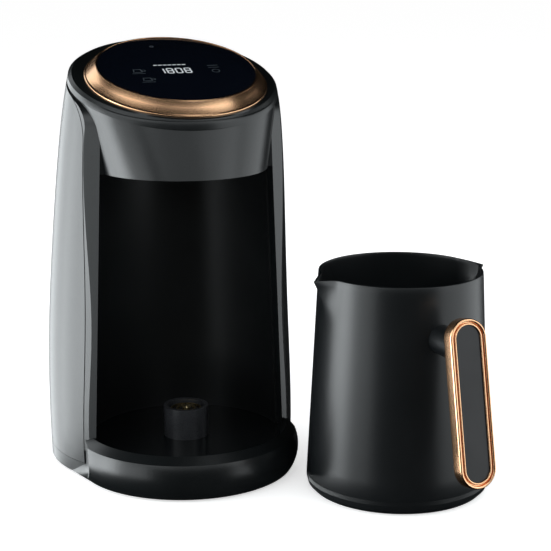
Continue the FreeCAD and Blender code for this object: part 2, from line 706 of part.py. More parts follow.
def screw(head_low, length):
    """A pan head screw that points up."""
    head_top = head_low + size("screw_head_height")
    head = post(size("screw_head_radius"), head_low, head_top)
    shank = post(size("screw_radius"), head_top - overlap, head_top + length)
    return head.fuse(shank)


def screws_at(label, places, head_low, length, placement=None):
    """A group of like screws."""
    group = []
    for side, back in places:
        one = screw(head_low, length)
        one.translate(Vector(side, back, 0))
        group.append(one)
    feature(label, Part.makeCompound(group), placement)


cover_head = size("foot_height") - size("screw_head_height")
screws_at("cover_screws", SCREW_PLACES, cover_head, size("screw_length"))

# Round cordless connector in the middle of the dish
turned("connector_boss", [
    ("boss_bore", "dish_height - tray_thickness"),
    ("boss_radius", "dish_height - tray_thickness"),
    ("boss_radius", "boss_height"),
    ("boss_radius - boss_wall", "boss_height"),
    ("boss_radius - boss_wall", "boss_floor"),
    ("boss_bore", "boss_floor"),
])
core_radius = "boss_radius - boss_wall - fit_gap"
slot_half = "(contact_wall / 2 + slot_gap)"
core = padded("connector_core", "boss_floor", "core_height - boss_floor",
              lambda sketch: draw_circle(sketch, "0", "0", core_radius))
slot_depth = "core_height - boss_floor - contact_foot"
for contact in ("live", "neutral"):

    def slot_outline(sketch, name=contact):
        """Both edges of the slot round a ring contact."""
        draw_circle(sketch, "0", "0", f"{name}_radius + {slot_half}")
        draw_circle(sketch, "0", "0", f"{name}_radius - {slot_half}")

    bored(core, "core_height", slot_depth, slot_outline, f"{contact}_slot")
bored(core, "core_height", slot_depth,
      lambda sketch: draw_circle(sketch, "0", "0", "earth_radius + slot_gap"), "earth_hole")
for contact in ("live", "neutral"):
    turned(f"{contact}_ring", [
        (f"{contact}_radius - contact_wall / 2", "boss_floor + contact_foot"),
        (f"{contact}_radius + contact_wall / 2", "boss_floor + contact_foot"),
        (f"{contact}_radius + contact_wall / 2", "core_height + contact_rise"),
        (f"{contact}_radius - contact_wall / 2", "core_height + contact_rise"),
    ])
turned("earth_pin", [
    ("0", "boss_floor + contact_foot"),
    ("earth_radius", "boss_floor + contact_foot"),
    ("earth_radius", "core_height + contact_rise"),
    ("earth_radius / 2", "core_height + contact_rise + earth_tip"),
    ("0", "core_height + contact_rise + earth_tip"),
])

# Hood: from its round lower edge to the tilted rim, with the seat of the copper ring
hood_wall = size("hood_wall")


def hood_form(extra):
    """The hood's outer form up to its rim, larger by extra."""
    lower = level_circle(size("hood_radius") + extra, 0, size("hood_height"))
    rim = head_circle(size("head_rim_radius") + extra, size("head_rim_setback"), size("head_rim_drop"))
    return Part.makeLoft([lower, rim], True, True)


rim_radius = size("head_rim_radius")
rim_setback = size("head_rim_setback")
rim_drop = size("head_rim_drop")
inset = size("head_round_inset")
rise = size("head_round_rise")
land_radius = size("ring_outer_radius") + size("head_top_margin")
shoulder = Part.makeLoft([
    head_circle(rim_radius, rim_setback, rim_drop),
    head_circle(rim_radius - inset, rim_setback - inset / 3, rim_drop - rise),
    head_circle(land_radius, 0, size("head_top_drop")),
], True, True)
band_low = rim_drop + size("rim_band")
below_band = head_solid(slab(-FAR, -band_low))
band = outer_form.cut(below_band)
hood_inside = Part.makeLoft([
    level_circle(size("hood_radius") - hood_wall, 0, size("hood_height") - size("fit_gap")),
    head_circle(rim_radius - size("hood_rim_wall"), rim_setback, size("hood_ledge_drop")),
], True, True)
seat = post(size("ring_outer_radius") + size("fit_gap"), -size("ring_height"), FAR)
opening = post(size("hood_ledge_radius"), -size("hood_ledge_reach"), FAR)
hood = hood_form(0).fuse([shoulder, band]).cut(hood_inside)
hood = hood.cut(head_solid(seat)).cut(head_solid(opening))
slot_half = size("ribbon_width") / 2 + size("ribbon_clear")
slot_low = size("ribbon_level") - size("ribbon_slot_height") / 2
ribbon_slot = Part.makeBox(
    2 * slot_half, FAR, size("ribbon_slot_height"), Vector(-slot_half, size("ribbon_slot_front"), slot_low)
)
feature("hood", hood.cut(ribbon_slot))

# Housing: pillars, outer shell under the panels, bay wall and ceiling
pillar_region = swept_region(
    size("pillar_front"), band_low, size("pillar_sweep_radius"), deck_top
)
panel_region = swept_region(
    size("panel_front"), size("panel_top_drop"), size("panel_sweep_radius"), skirt
)
ceiling_top = size("hood_height") + size("ceiling_thickness")
bay_wall = size("liner_thickness") + size("liner_gap") + size("housing_wall")
hollow_region = swept_region(
    size("pillar_front") + size("pillar_wall"),
    band_low + size("pillar_wall"),
    size("pillar_sweep_radius") - size("pillar_wall"),
    top - past,
)
bay_core = bay_cone(bay_wall, deck_top, ceiling_top)
pocket = over_form.common(panel_region).cut(pocket_form)
housing = outer_form.common(pillar_region)
housing = housing.cut(pocket)
housing = housing.cut(hollow_form.common(hollow_region).cut(bay_core))
housing = housing.cut(slab(0, top, pocket_front).cut(post(bay_radius(deck_top) + bay_wall, 0, top)))
housing = housing.cut(bay_cone(0, deck_top - past, size("hood_height")))
liner_edge = size("liner_edge")
liner_pocket = bay_cone(size("liner_thickness") + size("liner_gap"), deck_top - past, size("hood_height"))
housing = housing.cut(liner_pocket.common(slab(0, FAR, -liner_edge)))
housing = housing.cut(lip)
housing = housing.cut(hood_form(size("fit_gap")))
bay_sides = []
for height in (deck_top - past, size("hood_height")):
    half = bay_radius(height) + size("jamb_step")
    plan = [(-half, 0), (half, 0), (half, -FAR), (-half, -FAR)]
    points = [Vector(across, back, height) for across, back in plan]
    bay_sides.append(Part.makePolygon(points + points[:1]))
housing = housing.cut(Part.makeLoft(bay_sides, True, True))
jamb_lean = math.degrees(math.atan(
    (size("bay_low_radius") - size("bay_high_radius")) / (size("hood_height") - size("dish_height"))
))
for side in (-1, 1):
    before = swept_face(size("pillar_front"), band_low, size("pillar_sweep_radius"), 0, before=True)
    before.rotate(Vector(0, 0, size("dish_height")), Vector(0, 1, 0), -side * jamb_lean)
    before.translate(Vector(side * (size("bay_low_radius") + size("jamb_step")), 0, 0))
    housing = housing.cut(before.extrude(Vector(side * FAR, FAR * size("pillar_slope"), 0)))
board_window = Part.makeBox(
    2 * size("window_side"), FAR, size("window_high") - size("window_low"),
    Vector(-size("window_side"), size("window_front"), size("window_low")),
)
housing = housing.cut(board_window).cut(gland_hole)
feature("housing", housing)

# Concave wall of the bay
liner = bay_cone(size("liner_thickness"), deck_top, size("hood_height") - size("fit_gap"))
liner = liner.cut(bay_cone(0, deck_top, size("hood_height")))
liner = liner.common(slab(0, FAR, size("fit_gap") - liner_edge))
feature("cavity_liner", liner)

# Side panels and the rear cover between them
gap = size("panel_gap")
skin_form = tower_form(size("panel_thickness"))
skin_region = swept_region(
    size("panel_front") + size("panel_shadow_gap"),
    size("panel_top_drop") + gap,
    size("panel_sweep_radius"),
    skirt + gap,
)
skin = outer_form.common(skin_region).cut(skin_form)
half = size("rear_cover_half")
for label, low, high in (
    ("left_side_panel", -FAR, -half - gap),
    ("right_side_panel", half + gap, FAR),
):
    strip = Part.makeBox(high - low, 2 * FAR, 2 * FAR, Vector(low, -FAR, -FAR))
    feature(label, skin.common(strip))
rear_strip = Part.makeBox(2 * half, FAR, 2 * FAR, Vector(-half, 0, -FAR))
rear_cover = skin.common(rear_strip)
post_back = size("board_front") + size("board_thickness")
post_side = size("board_width") / 2 - size("board_hole_inset")
post_heights = [
    size("board_low") + size("board_hole_inset"),
    size("board_low") + size("board_length") - size("board_hole_inset"),
]
board_holes = [(side, height) for height in post_heights for side in (-post_side, post_side)]
trim_form = tower_form(size("panel_thickness") / 2)
for side, height in board_holes:
    foot = Vector(side, post_back, height)
    stud = Part.makeCylinder(size("post_radius"), FAR, foot, Vector(0, 1, 0))
    drill = Part.makeCylinder(hole_radius, size("screw_length"), foot, Vector(0, 1, 0))
    rear_cover = rear_cover.fuse(stud.common(trim_form)).cut(drill)
for index in range(int(size("vent_count"))):
    height = size("vent_low") + index * size("vent_pitch")
    rear_cover = rear_cover.cut(
        Part.makeBox(2 * size("vent_half"), FAR, size("vent_height"), Vector(-size("vent_half"), 0, height))
    )
feature("rear_cover", rear_cover.cut(gland_hole))

# Cord gland at the lower rear edge, with its bore for the mains cord
gland_face = size("body_foot_back") + size("body_foot_radius")
gland_inner = gland_face - size("gland_length")


def gland_drum(radius, front, back):
    """A round piece on the axis of the cord gland."""
    return Part.makeCylinder(radius, back - front, Vector(0, front, size("gland_height")), gland_axis)


gland_tube = gland_drum(size("gland_radius"), gland_inner, gland_face)
gland_rim = gland_drum(size("gland_flange_radius"), gland_face, gland_face + size("gland_flange"))
gland_way = gland_drum(size("gland_bore"), gland_inner - past, gland_face + size("gland_flange") + past)
feature("cord_gland", gland_tube.fuse(gland_rim).cut(gland_way))


# Floor of the hood with the boil sensor above the pot
def block(label, width, depth, height, side, back, low):
    """An upright box that is centred across, all its sizes expressions."""
    box = doc.addObject("Part::Box", label)
    for key, expression in (("Length", width), ("Width", depth), ("Height", height)):
        box.setExpression(key, cells(expression))
    box.setExpression("Placement.Base.x", cells(f"({side}) - ({width}) / 2"))
    box.setExpression("Placement.Base.y", cells(back))
    box.setExpression("Placement.Base.z", cells(low))
    return keep(box, label)


def drum(label, radius, height, side, back, low):
    """An upright cylinder, all its sizes expressions."""
    cylinder = doc.addObject("Part::Cylinder", label)
    cylinder.setExpression("Radius", cells(radius))
    cylinder.setExpression("Height", cells(height))
    cylinder.setExpression("Placement.Base.x", cells(side))
    cylinder.setExpression("Placement.Base.y", cells(back))
    cylinder.setExpression("Placement.Base.z", cells(low))
    return keep(cylinder, label)


floor_low = "hood_height + hood_floor_recess"
hood_floor = padded("hood_floor", floor_low, "hood_floor_thickness",
                    lambda sketch: draw_circle(sketch, "0", "0", "hood_radius - hood_wall - hood_floor_gap"))
bored(hood_floor, f"{floor_low} + hood_floor_thickness", "hood_floor_thickness + cut_margin",
      lambda sketch: draw_circle(sketch, "0", "window_back", "window_radius + fit_gap"), "window_hole")
window = padded("sensor_window", floor_low, "hood_floor_thickness",
                lambda sketch: draw_circle(sketch, "0", "window_back", "window_radius"))
flange_sketch = sketch_on(window, "XY_Plane", "window_flange_outline", f"{floor_low} + hood_floor_thickness")
draw_circle(flange_sketch, "0", "window_back", "window_radius + window_flange")
flange_pad = window.newObject("PartDesign::Pad", "window_flange_pad")
flange_pad.Profile = flange_sketch
flange_pad.setExpression("Length", cells("window_flange_height"))
drum("sensor_unit", "sensor_radius", "sensor_height", "0", "window_back",
     f"{floor_low} + hood_floor_thickness + window_flange_height")

# Control head: copper ring, glass, display and touch board, square to the tilted glass
stand_head(turned("trim_ring", [
    ("glass_radius + glass_gap", "ring_proud"),
    ("ring_outer_radius", "-ring_drop"),
    ("ring_outer_radius", "-ring_height"),
    ("glass_radius - ring_ledge", "-ring_height"),
    ("glass_radius - ring_ledge", "-glass_thickness"),
    ("glass_radius + glass_gap", "-glass_thickness"),
]))
stand_head(padded("control_glass", "-glass_thickness", "glass_thickness",
                  lambda sketch: draw_circle(sketch, "0", "0", "glass_radius")))
stand_head(padded("display_module", "-ring_height", "ring_height - glass_thickness",
                  lambda sketch: draw_polygon(sketch, [
                      ("-display_width / 2", "display_setback - display_depth / 2"),
                      ("display_width / 2", "display_setback - display_depth / 2"),
                      ("display_width / 2", "display_setback + display_depth / 2"),
                      ("-display_width / 2", "display_setback + display_depth / 2"),
                  ])))
stand_head(padded("touch_board", "-ring_height - board_thickness", "board_thickness",
                  lambda sketch: draw_circle(sketch, "0", "0", "hood_ledge_radius - glass_gap")))
stand_head(padded("buzzer", "-ring_height - board_thickness - buzzer_height", "buzzer_height",
                  lambda sketch: draw_circle(sketch, "0", "buzzer_setback", "buzzer_radius")))

# Power board on the posts of the rear cover, with its large parts
board = Part.makeBox(
    size("board_width"), size("board_thickness"), size("board_length"),
    Vector(-size("board_width") / 2, size("board_front"), size("board_low")),
)
for side, height in board_holes:
    foot = Vector(side, size("board_front") - past, height)
    depth = size("board_thickness") + 2 * past
    drill = Part.makeCylinder(hole_radius + size("fit_gap"), depth, foot, Vector(0, 1, 0))
    board = board.cut(drill)
feature("power_board", board)
block("relay", "relay_width", "relay_depth", "relay_height",
      "relay_side", "board_front - relay_depth", "board_low + relay_low")
block("transformer", "transformer_width", "transformer_depth", "transformer_height",
      "transformer_side", "board_front - transformer_depth", "board_low + transformer_low")
block("terminal_block", "terminal_width", "terminal_depth", "terminal_height",
      "0", "board_front - terminal_depth", "board_low + terminal_low")
towards_back = Placement(Vector(0, 0, 0), Rotation(Vector(1, 0, 0), -90))
screws_at(
    "board_screws",
    [(side, -height) for side, height in board_holes],
    size("board_front") - size("screw_head_height"),
    size("board_screw_length"),
    towards_back,
)


def ribbon(points, thickness, width):
    """A flat strip bent along points in the middle plane of the tower."""
    pieces = []
    for start, end in zip(points, points[1:]):
        along = end.sub(start)
        run = Part.makeBox(width, thickness, along.Length)
        run.translate(Vector(-width / 2, -thickness / 2, 0))
        run.Placement = Placement(start, Rotation(Vector(0, 0, 1), along)).multiply(run.Placement)
        pieces.append(run)
    for bend in points[1:-1]:
        edge = bend.sub(Vector(width / 2, 0, 0))
        pieces.append(Part.makeCylinder(thickness / 2, width, edge, Vector(1, 0, 0)))
    return pieces[0].fuse(pieces[1:])


half_ribbon = size("ribbon_thickness") / 2
touch_board_low = -size("ring_height") - size("board_thickness")
ribbon_start = size("board_low") + size("board_length") - size("ribbon_start_drop")
ribbon_points = [
    Vector(0, size("board_front") - half_ribbon, ribbon_start),
    Vector(0, size("board_front") - half_ribbon, size("ribbon_turn_height")),
    Vector(0, size("ribbon_level_back"), size("ribbon_level")),
    Vector(0, size("ribbon_level_front"), size("ribbon_level")),
    HEAD.multVec(Vector(0, size("ribbon_head"), touch_board_low)),
]
strip = ribbon(ribbon_points, size("ribbon_thickness"), size("ribbon_width"))
feature("ribbon_cable", strip.cut(head_solid(post(size("hood_ledge_radius"), touch_board_low, past))))

# Pot: jug with two opposite spouts, drawn about its own axis
pot_height = size("pot_height")
cup_height = size("cup_height")
pot_wall = size("pot_wall")


def pot_radius(height):
    """Outer radius of the pot at a height above the seam."""
    share = (height - cup_height) / (pot_height - cup_height)
    return size("pot_foot_radius") + share * (size("pot_rim_radius") - size("pot_foot_radius"))


def spout_outline(height, half_width, reach, tip_radius):
    """A pointed outline with a round tip, level at a height."""
    inner = size("spout_inner")
    centre = reach - tip_radius
    root = pot_radius(height) - size("spout_root")
    angle = math.atan2(half_width - tip_radius, centre - root)
    dx = tip_radius * math.sin(angle)
    dy = tip_radius * math.cos(angle)
    arc = Part.Arc(
        Vector(centre + dx, -dy, height), Vector(reach, 0, height), Vector(centre + dx, dy, height)
    )
    edges = [arc.toShape()]
    corners = [
        Vector(centre + dx, dy, height),
        Vector(root, half_width, height),
        Vector(inner, half_width, height),
        Vector(inner, -half_width, height),
        Vector(root, -half_width, height),
        Vector(centre + dx, -dy, height),
    ]
    for start, end in zip(corners, corners[1:]):
        edges.append(Part.LineSegment(start, end).toShape())
    return Part.Wire(edges)


def spout_form(inset):
    """The fold of a spout as a solid, drawn in by an inset."""
    fold = pot_height - size("spout_length")
    fold_reach = pot_radius(fold) - inset - overlap
    lower = spout_outline(fold, size("spout_fold_half"), fold_reach, size("spout_fold_radius"))
    upper = spout_outline(
        pot_height,
        size("spout_half_width") - inset,
        size("spout_reach") - inset,
        size("spout_tip_radius") - inset / 2,
    )
    return Part.makeLoft([lower, upper], True, True)


pot_core = turned_shape([
    (0, cup_height),
    (pot_radius(cup_height), cup_height),
    (pot_radius(pot_height), pot_height),
    (0, pot_height),
])
jug_floor = size("jug_floor_height")
pot_inside = turned_shape([
    (0, jug_floor + pot_wall),
    (pot_radius(jug_floor + pot_wall) - pot_wall, jug_floor + pot_wall),
    (pot_radius(pot_height + past) - pot_wall, pot_height + past),
    (0, pot_height + past),
])
under_floor = turned_shape([
    (0, cup_height - past),
    (pot_radius(cup_height - past) - pot_wall, cup_height - past),
    (pot_radius(jug_floor) - pot_wall, jug_floor),
    (0, jug_floor),
])
jug = pot_core
for turn in (0, 180):
    spout = spout_form(0)
    spout.rotate(Vector(0, 0, 0), Vector(0, 0, 1), turn)
    jug = jug.fuse(spout)
pot_solid = jug.copy()
jug = jug.cut(pot_inside).cut(under_floor)
for turn in (0, 180):
    spout = spout_form(pot_wall)
    spout.rotate(Vector(0, 0, 0), Vector(0, 0, 1), turn)
    jug = jug.cut(spout)
    fall = pot_height - size("spout_tip_height")
    run = size("spout_reach") - size("pot_rim_radius")
    tip_drop = Part.makeBox(FAR, 2 * FAR, FAR)
    tip_drop.Placement = Placement(
        Vector(pot_radius(pot_height), -FAR, pot_height),
        Rotation(Vector(0, 1, 0), math.degrees(math.atan2(fall, run))),
    )
    tip_drop.rotate(Vector(0, 0, 0), Vector(0, 0, 1), turn)
    jug = jug.cut(tip_drop)
feature("jug", jug, POT)

# Base of the pot: cup, socket, heater and its parts
stand_pot(turned("base_cup", [
    ("socket_outer + fit_gap", "0"),
    ("pot_foot_radius - pot_corner", "0"),
    ("pot_foot_radius - pot_corner * (1 - sin(30deg))", "pot_corner * (1 - cos(30deg))"),
    ("pot_foot_radius - pot_corner * (1 - sin(60deg))", "pot_corner * (1 - cos(60deg))"),
    ("pot_foot_radius", "pot_corner"),
    ("pot_foot_radius", "cup_height"),
    ("pot_foot_radius - cup_wall", "cup_height"),
    ("pot_foot_radius - cup_wall", "pot_corner"),
    ("pot_foot_radius - pot_corner", "cup_floor"),
    ("socket_outer + fit_gap", "cup_floor"),
]))
cup = nodes[-1]


def screw_spots(sketch, radius):
    """Circles for the screws of the base cup."""
    count = int(size("cup_screw_count"))
    for index in range(count):
        angle = f"({index} * 360 / {count} + cup_screw_turn) * 1deg"
        draw_circle(sketch, f"cup_screw_circle * cos({angle})", f"cup_screw_circle * sin({angle})", radius)


bored(cup, "cup_floor", "cup_floor + cut_margin",
      lambda sketch: screw_spots(sketch, "screw_radius + fit_gap"), "cup_holes")
bored(cup, "cup_screw_sink", "cup_screw_sink + cut_margin",
      lambda sketch: screw_spots(sketch, "screw_head_radius + fit_gap"), "cup_sinks")
socket = stand_pot(turned("pot_socket", [
    ("boss_radius + socket_clearance", "0"),
    ("socket_outer", "0"),
    ("socket_outer", "cup_floor"),
    ("socket_flange", "cup_floor"),
    ("socket_flange", "cup_floor + socket_flange_height"),
    ("socket_outer", "cup_floor + socket_flange_height"),
    ("socket_outer", "jug_floor_height - plate_thickness"),
    ("0", "jug_floor_height - plate_thickness"),
    ("0", "boss_height - dish_height + socket_headroom"),
    ("boss_radius + socket_clearance", "boss_height - dish_height + socket_headroom"),
]))
bored(socket, "cup_floor + socket_flange_height", "socket_flange_height + cut_margin",
      lambda sketch: screw_spots(sketch, "screw_radius + screw_hole_gap"), "socket_holes")
pin_low = "core_height + contact_rise - dish_height + socket_headroom"
pin_roof = "boss_height - dish_height + socket_headroom"


def mating_contacts(sketch):
    """Two rings and a middle pin that meet the contacts of the post."""
    draw_circle(sketch, "0", "0", "live_radius + contact_wall")
    draw_circle(sketch, "0", "0", "live_radius - contact_wall")
    draw_circle(sketch, "0", "0", "neutral_radius + contact_wall")
    draw_circle(sketch, "0", "0", "neutral_radius - contact_wall")
    draw_circle(sketch, "0", "0", "earth_radius")


stand_pot(padded("socket_contacts", pin_low, f"{pin_roof} - ({pin_low})", mating_contacts))
stand_pot(padded("heating_plate", "jug_floor_height - plate_thickness", "plate_thickness",
                 lambda sketch: draw_circle(sketch, "0", "0", "plate_radius")))
element = doc.addObject("Part::Torus", "heating_element")
element.setExpression("Radius1", cells("element_radius"))
element.setExpression("Radius2", cells("element_tube"))
element.setExpression("Angle3", "sizes.element_sweep * 1deg")
stand_pot(element)
element.setExpression("Placement.Base.z", cells("jug_floor_height - plate_thickness - element_tube"))
keep(element, "heating_element")
thermostat_low = "jug_floor_height - plate_thickness - thermostat_height"
stand_pot(padded("thermostat", thermostat_low, "thermostat_height",
                 lambda sketch: draw_circle(sketch, "0", "-thermostat_side", "thermostat_radius")))
stand_pot(turned("seal_ring", [
    ("pot_foot_radius - cup_wall - fit_gap - seal_width", "cup_height - seal_height / 2"),
    ("pot_foot_radius - cup_wall - fit_gap", "cup_height - seal_height / 2"),
    ("pot_foot_radius - cup_wall - fit_gap", "cup_height + seal_height / 2"),
    ("pot_foot_radius - cup_wall - fit_gap - seal_width", "cup_height + seal_height / 2"),
]))
cup_places = []
circle = size("cup_screw_circle")
for index in range(int(size("cup_screw_count"))):
    angle = math.radians(360 * index / size("cup_screw_count") + size("cup_screw_turn"))
    cup_places.append((circle * math.cos(angle), circle * math.sin(angle)))
cup_head = size("cup_screw_sink") - size("screw_head_height")
screws_at("base_cup_screws", cup_places, cup_head, size("cup_screw_length"), POT)

# Handle: a leaning capsule on one round stand-off
rim_width = "handle_band + handle_groove + handle_lip"


def capsule(inset):
    """A function that draws the handle's outline, drawn in by an inset."""
    width = f"handle_width - 2 * ({inset})"
    length = f"handle_length - 2 * ({inset})"
    return lambda sketch: draw_capsule(sketch, width, length)


def groove_outline(sketch):
    """Both edges of the groove of the copper rim."""
    capsule("handle_band")(sketch)
    capsule("handle_band + handle_groove")(sketch)


frame = padded("handle_frame", "-handle_depth / 2", "handle_depth", capsule("0"))
bored(frame, "handle_depth / 2", "handle_depth + cut_margin", capsule(rim_width), "handle_opening")
bored(frame, "handle_depth / 2", "handle_groove_depth", groove_outline, "handle_groove_cut")
frame.Placement = HANDLE
inside = f"{rim_width} + fit_gap"
inlay_low = "handle_depth / 2 - inlay_recess - inlay_thickness"
grip = padded("handle_core", "-handle_depth / 2", f"{inlay_low} + handle_depth / 2", capsule(inside))
grip.Placement = HANDLE
inlay = padded("handle_inlay", inlay_low, "inlay_thickness", capsule(inside))
inlay.Placement = HANDLE
lean = math.radians(size("handle_lean"))
stub_up = (size("stub_height") - size("handle_centre_height")) / math.cos(lean)
screw_up = str(round(stub_up, 3))
bored(grip, inlay_low, f"{inlay_low} + handle_depth",
      lambda sketch: draw_circle(sketch, "0", screw_up, "handle_screw_radius + fit_gap"), "grip_screw_hole")
bored(grip, inlay_low, "handle_screw_head + 2 * fit_gap",
      lambda sketch: draw_circle(sketch, "0", screw_up, "2 * handle_screw_radius + fit_gap"),
      "grip_screw_sink")
stub = Part.makeCylinder(size("stub_radius"), FAR, Vector(0, 0, size("stub_height")), Vector(0, -1, 0))
stub.Placement = POT.multiply(stub.Placement)
pot_body = pot_solid.copy()
pot_body.Placement = POT
handle_back = -size("handle_depth") / 2
outside = slab(handle_back, 2 * FAR)
outside.Placement = HANDLE.multiply(outside.Placement)
shank_low = handle_back - size("handle_screw_reach")
drill_radius = size("handle_screw_radius") + size("screw_hole_gap")
screw_drill = post(drill_radius, shank_low - past, handle_back + past, 0, stub_up)
screw_drill.Placement = HANDLE.multiply(screw_drill.Placement)
feature("handle_stub", stub.cut(pot_body).cut(outside).cut(screw_drill))
head_top = size("handle_depth") / 2 - size("inlay_recess") - size("inlay_thickness") - size("fit_gap")
head_low = head_top - size("handle_screw_head")
head = post(2 * size("handle_screw_radius"), head_low, head_top, 0, stub_up)
shank = post(size("handle_screw_radius"), shank_low, head_low + size("fit_gap"), 0, stub_up)
feature("handle_screw", head.fuse(shank), HANDLE)

# Check every object, then write one file per sub-part
doc.recompute()
broken = [item.Name for item in doc.Objects if "Invalid" in item.State or "Error" in item.State]
if broken:
    raise RuntimeError("failed objects: " + ", ".join(broken))
os.makedirs("parts", exist_ok=True)
for node in nodes:
    shape = node.Shape
    if shape.isNull() or not shape.isValid() or shape.Volume <= 0:
        raise RuntimeError("bad shape: " + node.Label)
    shape.exportStep(f"parts/{node.Label}.step")
    print(node.Label, len(shape.Solids), round(shape.Volume), shape.BoundBox)
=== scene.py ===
import math

import bpy
from mathutils import Matrix, Vector


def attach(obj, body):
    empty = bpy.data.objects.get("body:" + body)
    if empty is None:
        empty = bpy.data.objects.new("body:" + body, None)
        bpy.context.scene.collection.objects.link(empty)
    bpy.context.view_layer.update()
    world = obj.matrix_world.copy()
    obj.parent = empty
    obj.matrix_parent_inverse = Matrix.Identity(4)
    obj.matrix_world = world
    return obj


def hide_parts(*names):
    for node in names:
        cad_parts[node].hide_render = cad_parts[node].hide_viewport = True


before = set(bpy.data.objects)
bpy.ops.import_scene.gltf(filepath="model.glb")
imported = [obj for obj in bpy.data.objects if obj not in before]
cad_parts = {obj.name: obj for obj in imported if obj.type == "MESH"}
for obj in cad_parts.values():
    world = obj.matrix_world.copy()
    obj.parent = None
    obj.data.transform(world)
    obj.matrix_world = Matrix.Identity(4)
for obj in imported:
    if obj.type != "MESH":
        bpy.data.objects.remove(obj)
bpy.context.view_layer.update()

bpy.ops.object.select_all(action="DESELECT")


# Base shell, hood, housing, side panels and rear cover.
# Moulded plastic under a satin black soft coating; its fine grain and slow
# changes of tone spread the light of the studio into wide, even highlights.
NOISE_LOW = 0.3
NOISE_HIGH = 0.7
TONE_DETAIL = 4.0
GRAIN_DETAIL = 2.0
GRAIN_STRENGTH = 0.35


def surface(name, dark, pale, rough, tone_scale, grain_scale, relief, metallic=0.0, gloss=0.5):
    """A finish whose tone, roughness and relief all change over the piece."""
    material = bpy.data.materials.new(name)
    material.use_nodes = True
    nodes = material.node_tree.nodes
    links = material.node_tree.links
    shader = nodes["Principled BSDF"]
    shader.inputs["Metallic"].default_value = metallic
    shader.inputs["Specular IOR Level"].default_value = gloss
    place = nodes.new("ShaderNodeTexCoord")
    tone = nodes.new("ShaderNodeTexNoise")
    tone.inputs["Scale"].default_value = tone_scale
    tone.inputs["Detail"].default_value = TONE_DETAIL
    links.new(place.outputs["Object"], tone.inputs["Vector"])
    colours = nodes.new("ShaderNodeValToRGB")
    colours.color_ramp.elements[0].position = NOISE_LOW
    colours.color_ramp.elements[0].color = (*dark, 1.0)
    colours.color_ramp.elements[1].position = NOISE_HIGH
    colours.color_ramp.elements[1].color = (*pale, 1.0)
    links.new(tone.outputs["Fac"], colours.inputs["Fac"])
    links.new(colours.outputs["Color"], shader.inputs["Base Color"])
    grain = nodes.new("ShaderNodeTexNoise")
    grain.inputs["Scale"].default_value = grain_scale
    grain.inputs["Detail"].default_value = GRAIN_DETAIL
    links.new(place.outputs["Object"], grain.inputs["Vector"])
    spread = nodes.new("ShaderNodeMapRange")
    spread.inputs["From Min"].default_value = NOISE_LOW
    spread.inputs["From Max"].default_value = NOISE_HIGH
    spread.inputs["To Min"].default_value = rough[0]
    spread.inputs["To Max"].default_value = rough[1]
    links.new(grain.outputs["Fac"], spread.inputs["Value"])
    links.new(spread.outputs["Result"], shader.inputs["Roughness"])
    bump = nodes.new("ShaderNodeBump")
    bump.inputs["Strength"].default_value = GRAIN_STRENGTH
    bump.inputs["Distance"].default_value = relief
    links.new(grain.outputs["Fac"], bump.inputs["Height"])
    links.new(bump.outputs["Normal"], shader.inputs["Normal"])
    return material


def dress(material, *names):
    """Give CAD nodes a finish."""
    for name in names:
        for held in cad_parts[name].material_slots:
            held.material = material


satin_black = surface("satin_black_coating", (0.0026, 0.0034, 0.0038), (0.0040, 0.0050, 0.0055),
                      (0.27, 0.33), 30.0, 3200.0, 0.00002)
dress(satin_black, "base_shell", "housing", "hood",
      "left_side_panel", "right_side_panel", "rear_cover")

# Bottom cover, feet and cord gland.
# The cover is moulded black plastic with a coarse spark-eroded texture; the ring
# foot, the two rear pads and the gland are soft black rubber, pushed in place.
moulded_black = surface("moulded_black_plastic", (0.005, 0.005, 0.006), (0.009, 0.009, 0.010),
                        (0.50, 0.62), 60.0, 1500.0, 0.00008)
dress(moulded_black, "bottom_cover", "hood_floor", "connector_core")
foot_rubber = surface("foot_rubber", (0.006, 0.006, 0.006), (0.011, 0.011, 0.011),
                      (0.70, 0.85), 90.0, 1100.0, 0.0001, gloss=0.3)
dress(foot_rubber, "foot_ring", "rear_feet", "cord_gland")
plated_steel = surface("plated_screw_steel", (0.42, 0.43, 0.44), (0.55, 0.56, 0.57),
                       (0.28, 0.42), 200.0, 2500.0, 0.00002, metallic=1.0)
dress(plated_steel, "cover_screws", "board_screws", "base_cup_screws", "handle_screw")

# Dish floor and the wall of the bay.
# Both are smooth dark plastic, wiped clean in use, so they are glossier than the
# coated shell and show the soft reflection of the connector post.
smooth_black = surface("smooth_black_plastic", (0.0022, 0.0028, 0.0032), (0.0035, 0.0042, 0.0046),
                       (0.20, 0.27), 25.0, 2400.0, 0.00002)
dress(smooth_black, "tray_floor")
bay_black = surface("bay_wall_plastic", (0.0030, 0.0036, 0.0040), (0.0048, 0.0056, 0.0060),
                    (0.34, 0.42), 22.0, 2800.0, 0.00003)
dress(bay_black, "cavity_liner")

# Connector post with its three contacts.
# A glossy dark shell round an insulating core; two brass rings and the earth pin
# stand a little proud of the core and are bright where the pot rubs them.
post_black = surface("connector_post_plastic", (0.014, 0.015, 0.017), (0.022, 0.023, 0.026),
                     (0.25, 0.34), 120.0, 2600.0, 0.00002)
dress(post_black, "connector_boss", "pot_socket")
contact_brass = surface("contact_brass", (0.48, 0.36, 0.17), (0.72, 0.60, 0.36),
                        (0.18, 0.34), 900.0, 4000.0, 0.00001, metallic=1.0)
dress(contact_brass, "live_ring", "neutral_ring", "earth_pin", "socket_contacts")

